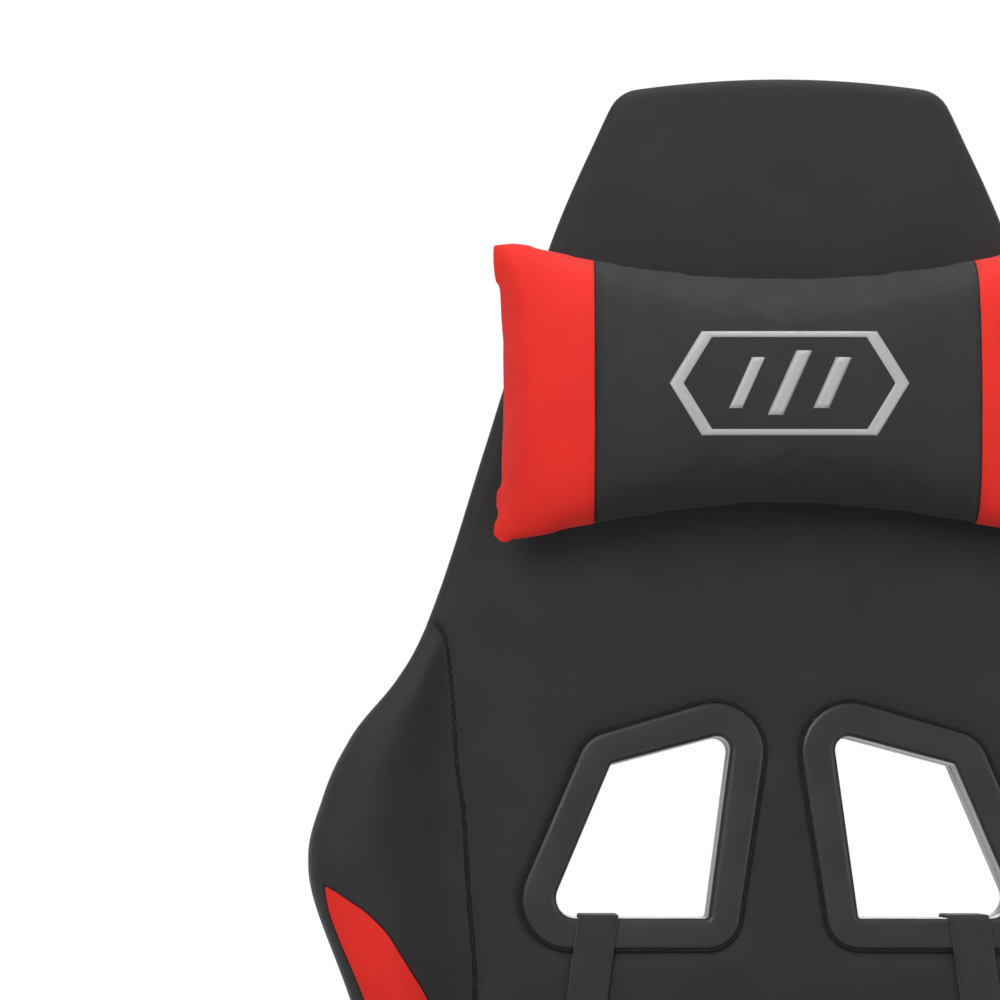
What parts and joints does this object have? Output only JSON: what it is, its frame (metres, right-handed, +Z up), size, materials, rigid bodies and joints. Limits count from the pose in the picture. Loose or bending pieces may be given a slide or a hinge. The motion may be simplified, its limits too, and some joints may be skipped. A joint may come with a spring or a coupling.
{
  "type": "gaming chair",
  "caption": "Swivel gaming chair with a winged reclining back, strapped head and lumbar cushions, lift-up armrests, tilt and gas height lift on a caster base.",
  "frame": {"origin": "on the floor under the gas column's axis", "axes": "+Z up, the sitter faces -Y, +X towards the sitter's left"},
  "size_m": [0.685, 0.6969, 1.2537],
  "materials": {
    "black_cloth": "smooth, closely woven matte cloth over foam",
    "red_cloth": "smooth, closely woven matte cloth over foam",
    "webbing": "woven polyester webbing",
    "elastic": "woven elastic band",
    "belt": "woven elastic belts",
    "black_nylon": "fine textured moulding",
    "satin_plastic": "satin moulding",
    "pad_foam": "soft moulded polyurethane",
    "wheel": "nylon and polyurethane tread",
    "black_steel": "black powder coat",
    "frame_steel": "black powder coat",
    "bright_steel": "ground",
    "chrome_rod": "hard chrome",
    "spring_steel": "oiled",
    "zinc": "zinc plated",
    "bushing_plastic": "natural acetal"
  },
  "bodies": {
    "base": {"star_base": "black_nylon", "column_tube": "black_steel", "column_bushing": "bushing_plastic", "thrust_bearing": "bright_steel", "dust_cover_lower": "satin_plastic"},
    "caster_1": {"caster_hood_1": "black_nylon", "caster_pins_1": "bright_steel"},
    "wheels_1": {"caster_wheels_1": "wheel"},
    "caster_2": {"caster_hood_2": "black_nylon", "caster_pins_2": "bright_steel"},
    "wheels_2": {"caster_wheels_2": "wheel"},
    "caster_3": {"caster_hood_3": "black_nylon", "caster_pins_3": "bright_steel"},
    "wheels_3": {"caster_wheels_3": "wheel"},
    "caster_4": {"caster_hood_4": "black_nylon", "caster_pins_4": "bright_steel"},
    "wheels_4": {"caster_wheels_4": "wheel"},
    "caster_5": {"caster_hood_5": "black_nylon", "caster_pins_5": "bright_steel"},
    "wheels_5": {"caster_wheels_5": "wheel"},
    "piston": {"piston_rod": "chrome_rod"},
    "lift": {"gas_cylinder": "chrome_rod", "dust_cover_upper": "satin_plastic", "mechanism_housing": "black_steel", "tilt_pin": "zinc", "tilt_spring": "spring_steel"},
    "cover_middle": {"dust_cover_middle": "satin_plastic"},
    "valve": {"valve_pin": "bright_steel"},
    "knob": {"tension_knob": "satin_plastic"},
    "lock_slider": {"tilt_lock_slider": "bushing_plastic"},
    "lever": {"height_lever": "black_steel", "lever_grip": "satin_plastic"},
    "seat": {"tilt_plate": "black_steel", "seat_frame": "frame_steel", "seat_webbing": "belt", "seat_cushion": "black_cloth", "seat_bolts": "zinc", "recliner_plates": "black_steel", "recline_pins": "zinc", "recline_spring": "spring_steel", "side_cover_left": "satin_plastic", "side_cover_right": "satin_plastic", "armrest_bracket_left": "black_steel", "armrest_bracket_right": "black_steel"},
    "back": {"back_plates": "black_steel", "back_frame": "frame_steel", "back_cushion": "black_cloth", "vent_bezels_front": "satin_plastic", "vent_bezels_rear": "satin_plastic", "lumbar_straps": "webbing"},
    "recline_handle": {"recline_lever": "satin_plastic"},
    "armrest_left": {"armrest_post_left": "black_steel", "armrest_pad_left": "pad_foam"},
    "armrest_right": {"armrest_post_right": "black_steel", "armrest_pad_right": "pad_foam"},
    "button_left": {"armrest_button_left": "satin_plastic"},
    "button_right": {"armrest_button_right": "satin_plastic"},
    "headrest": {"head_pillow": "red_cloth", "head_strap": "elastic"},
    "lumbar": {"lumbar_cushion": "black_cloth"}
  },
  "joints": [
    {"name": "caster_swivel_1", "type": "hinge", "parent": "base", "child": "caster_1", "pos_m": [0, -0.31, 0.07], "axis": [0, 0, 1], "continuous": true},
    {"name": "wheel_roll_1", "type": "hinge", "parent": "caster_1", "child": "wheels_1", "pos_m": [0.01879, -0.30316, 0.03], "axis": [0.342, -0.9397, 0], "continuous": true},
    {"name": "caster_swivel_2", "type": "hinge", "parent": "base", "child": "caster_2", "pos_m": [0.29483, -0.0958, 0.07], "axis": [0, 0, 1], "continuous": true},
    {"name": "wheel_roll_2", "type": "hinge", "parent": "caster_2", "child": "wheels_2", "pos_m": [0.28734, -0.07725, 0.03], "axis": [0.9272, 0.3746, 0], "continuous": true},
    {"name": "caster_swivel_3", "type": "hinge", "parent": "base", "child": "caster_3", "pos_m": [0.18221, 0.2508, 0.07], "axis": [0, 0, 1], "continuous": true},
    {"name": "wheel_roll_3", "type": "hinge", "parent": "caster_3", "child": "wheels_3", "pos_m": [0.16246, 0.25392, 0.03], "axis": [0.1564, 0.9877, 0], "continuous": true},
    {"name": "caster_swivel_4", "type": "hinge", "parent": "base", "child": "caster_4", "pos_m": [-0.18221, 0.2508, 0.07], "axis": [0, 0, 1], "continuous": true},
    {"name": "wheel_roll_4", "type": "hinge", "parent": "caster_4", "child": "wheels_4", "pos_m": [-0.18971, 0.23225, 0.03], "axis": [-0.9272, 0.3746, 0], "continuous": true},
    {"name": "caster_swivel_5", "type": "hinge", "parent": "base", "child": "caster_5", "pos_m": [-0.29483, -0.0958, 0.07], "axis": [0, 0, 1], "continuous": true},
    {"name": "wheel_roll_5", "type": "hinge", "parent": "caster_5", "child": "wheels_5", "pos_m": [-0.27805, -0.10669, 0.03], "axis": [-0.5446, -0.8387, 0], "continuous": true},
    {"name": "seat_swivel", "type": "hinge", "parent": "base", "child": "piston", "pos_m": [0, 0, 0.06], "axis": [0, 0, 1], "continuous": true},
    {"name": "height_lift", "type": "slide", "parent": "piston", "child": "lift", "axis": [0, 0, 1], "range_m": [0, 0.08]},
    {"name": "cover_follow", "type": "slide", "parent": "base", "child": "cover_middle", "axis": [0, 0, 1], "range_m": [0, 0.04]},
    {"name": "tension_turn", "type": "hinge", "parent": "lift", "child": "knob", "pos_m": [0, -0.068, 0.24], "axis": [0, 0, 1], "continuous": true},
    {"name": "tilt_lock_pull", "type": "slide", "parent": "lift", "child": "lock_slider", "axis": [-1, 0, 0], "range_m": [0, 0.008]},
    {"name": "height_lever_lift", "type": "hinge", "parent": "lock_slider", "child": "lever", "pos_m": [-0.056, 0, 0.3045], "axis": [0, 1, 0], "range_deg": [0, 4], "stiffness_Nm_per_rad": 8, "springref_deg": -6.88},
    {"name": "valve_press", "type": "slide", "parent": "lift", "child": "valve", "axis": [0, 0, -1], "range_m": [0, 0.004]},
    {"name": "seat_tilt", "type": "hinge", "parent": "lift", "child": "seat", "pos_m": [0, -0.105, 0.322], "axis": [-1, 0, 0], "range_deg": [0, 8], "stiffness_Nm_per_rad": 220, "springref_deg": -25.78, "deforming": ["tilt_spring"]},
    {"name": "back_recline", "type": "hinge", "parent": "seat", "child": "back", "pos_m": [0, 0.245, 0.44], "axis": [-1, 0, 0], "range_deg": [0, 60]},
    {"name": "recline_release", "type": "hinge", "parent": "seat", "child": "recline_handle", "pos_m": [-0.25, 0.245, 0.44], "axis": [-1, 0, 0], "range_deg": [0, 25], "stiffness_Nm_per_rad": 0.6, "springref_deg": -17.19},
    {"name": "headrest_slide", "type": "slide", "parent": "back", "child": "headrest", "axis": [0, 0.1045, 0.9945], "range_m": [0, 0.04]},
    {"name": "lumbar_slide", "type": "slide", "parent": "back", "child": "lumbar", "axis": [0, 0.1045, 0.9945], "range_m": [-0.02, 0.03]},
    {"name": "armrest_left_lift", "type": "slide", "parent": "seat", "child": "armrest_left", "axis": [0, 0, 1], "range_m": [0, 0.06]},
    {"name": "armrest_left_press", "type": "slide", "parent": "seat", "child": "button_left", "axis": [-1, 0, 0], "range_m": [0, 0.003], "stiffness_N_per_m": 800, "springref_m": -0.002},
    {"name": "armrest_right_lift", "type": "slide", "parent": "seat", "child": "armrest_right", "axis": [0, 0, 1], "range_m": [0, 0.06]},
    {"name": "armrest_right_press", "type": "slide", "parent": "seat", "child": "button_right", "axis": [1, 0, 0], "range_m": [0, 0.003], "stiffness_N_per_m": 800, "springref_m": -0.002}
  ],
  "couplings": [
    {"joint": "cover_follow", "follows": "height_lift", "ratio": 0.5},
    {"joint": "valve_press", "follows": "height_lever_lift", "m_per_rad": 0.056}
  ]
}
